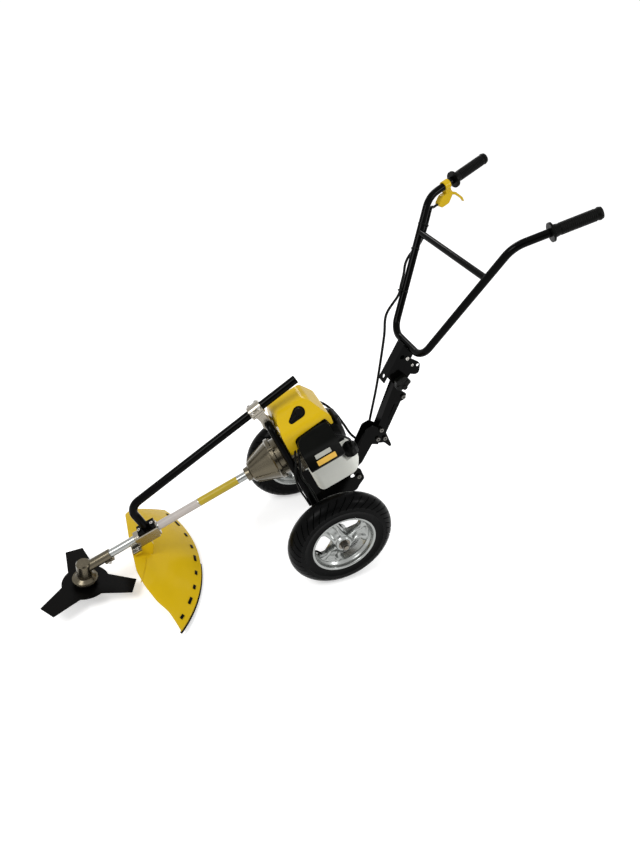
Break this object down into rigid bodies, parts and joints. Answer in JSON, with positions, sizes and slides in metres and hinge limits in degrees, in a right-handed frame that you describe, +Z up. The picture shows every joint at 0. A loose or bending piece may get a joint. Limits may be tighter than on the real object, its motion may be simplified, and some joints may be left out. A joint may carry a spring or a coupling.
{
  "type": "wheeled brush cutter",
  "caption": "Two-wheeled hand-pushed brush cutter: engine on a tube frame, sloping drive shaft with bevel head, toothed blade, guard and V-shaped tilting handlebar.",
  "frame": {"origin": "on the floor under the middle of the machine's box", "axes": "+X back towards the handlebar and the operator, +Z up, -Y the operator's left"},
  "size_m": [1.5349, 0.5544, 1.099],
  "materials": {
    "black_paint": "gloss black paint",
    "dark_steel": "black, satin",
    "yellow_plastic": "glossy yellow",
    "black_plastic": "matt black",
    "clear_plastic": "milky white",
    "cast_aluminium": "as cast",
    "alloy": "bright machined",
    "steel": "bright",
    "zinc": "zinc plated",
    "rubber": "matt black",
    "tyre": "black",
    "red_plastic": "red",
    "porcelain": "white glaze"
  },
  "bodies": {
    "frame": {"chassis": "black_paint", "axle": "steel", "axle_nuts": "zinc", "wheel_bearings": "steel", "hoop": "black_paint", "strut": "black_paint", "clamp_body": "cast_aluminium", "clamp_cap": "cast_aluminium", "m6_bolts": "zinc", "frame_bolts": "zinc", "drive_tube": "alloy", "shaft_bushes": "black_plastic", "gear_head": "cast_aluminium", "head_bearings": "steel", "guard": "yellow_plastic", "guard_skirt": "rubber", "guard_bracket": "cast_aluminium", "clutch_case": "cast_aluminium", "crankcase": "cast_aluminium", "cylinder": "cast_aluminium", "spark_plug": "porcelain", "plug_cap": "rubber", "top_cover": "yellow_plastic", "muffler": "steel", "muffler_cover": "black_plastic", "carburettor": "cast_aluminium", "air_filter_cover": "black_plastic", "starter_case": "black_plastic", "starter_rope": "black_plastic", "fuel_tank": "clear_plastic", "tank_feet": "rubber", "column": "black_paint", "column_bracket": "black_paint", "column_brace": "black_paint", "cable_lower": "black_plastic", "throttle_cable": "black_plastic"},
    "bar": {"bar_bracket": "black_paint", "handlebar": "black_paint", "grip_left": "rubber", "grip_right": "rubber", "throttle_clamp": "yellow_plastic", "throttle_body": "yellow_plastic", "cable_upper": "black_plastic", "pivot_bolt": "zinc"},
    "knob": {"star_knob": "black_plastic"},
    "trigger": {"throttle_trigger": "yellow_plastic"},
    "pull": {"starter_handle": "black_plastic"},
    "cap": {"fuel_cap": "black_plastic"},
    "choke": {"choke_lever": "red_plastic"},
    "wheel_left": {"rim_left": "alloy", "tyre_left": "tyre"},
    "wheel_right": {"rim_right": "alloy", "tyre_right": "tyre"},
    "cutter": {"spindle": "steel", "blade": "dark_steel", "blade_holder": "dark_steel", "blade_cup": "dark_steel", "blade_nut": "zinc"},
    "drive": {"drive_shaft": "steel", "clutch_drum": "steel"}
  },
  "joints": [
    {"name": "wheel_left_spin", "type": "hinge", "parent": "frame", "child": "wheel_left", "pos_m": [0.106, -0.212, 0.166], "axis": [0, 1, 0], "continuous": true},
    {"name": "wheel_right_spin", "type": "hinge", "parent": "frame", "child": "wheel_right", "pos_m": [0.106, 0.212, 0.166], "axis": [0, 1, 0], "continuous": true},
    {"name": "cutter_spin", "type": "hinge", "parent": "frame", "child": "cutter", "pos_m": [-0.63057, 0, 0.10751], "axis": [0.1045, 0, 0.9945], "continuous": true},
    {"name": "drive_spin", "type": "hinge", "parent": "frame", "child": "drive", "pos_m": [-0.63057, 0, 0.10751], "axis": [0.9291, 0, 0.3697], "continuous": true},
    {"name": "bar_tilt", "type": "hinge", "parent": "frame", "child": "bar", "pos_m": [0.37538, 0, 0.54657], "axis": [0, 1, 0], "range_deg": [-30, 25], "deforming": ["throttle_cable"]},
    {"name": "knob_turn", "type": "hinge", "parent": "bar", "child": "knob", "pos_m": [0.37538, 0, 0.54657], "axis": [0, -1, 0], "range_deg": [0, 360]},
    {"name": "trigger_pull", "type": "hinge", "parent": "bar", "child": "trigger", "pos_m": [0.62948, 0.22858, 1.00544], "axis": [0.2031, -0.9763, 0.0747], "range_deg": [0, 28], "stiffness_Nm_per_rad": 0.25, "springref_deg": -11.46},
    {"name": "starter_pull", "type": "slide", "parent": "frame", "child": "pull", "axis": [-0.3697, 0, 0.9291], "range_m": [0, 0.7], "stiffness_N_per_m": 12, "springref_m": -0.25, "deforming": ["starter_rope"]},
    {"name": "cap_turn", "type": "hinge", "parent": "frame", "child": "cap", "pos_m": [0.20993, -0.047, 0.34297], "axis": [-0.3697, 0, 0.9291], "range_deg": [0, 270]},
    {"name": "choke_turn", "type": "hinge", "parent": "frame", "child": "choke", "pos_m": [0.0954, 0.106, 0.4739], "axis": [0, 1, 0], "range_deg": [0, 70]}
  ],
  "couplings": [
    {"joint": "drive_spin", "follows": "cutter_spin", "ratio": 1.3333}
  ]
}
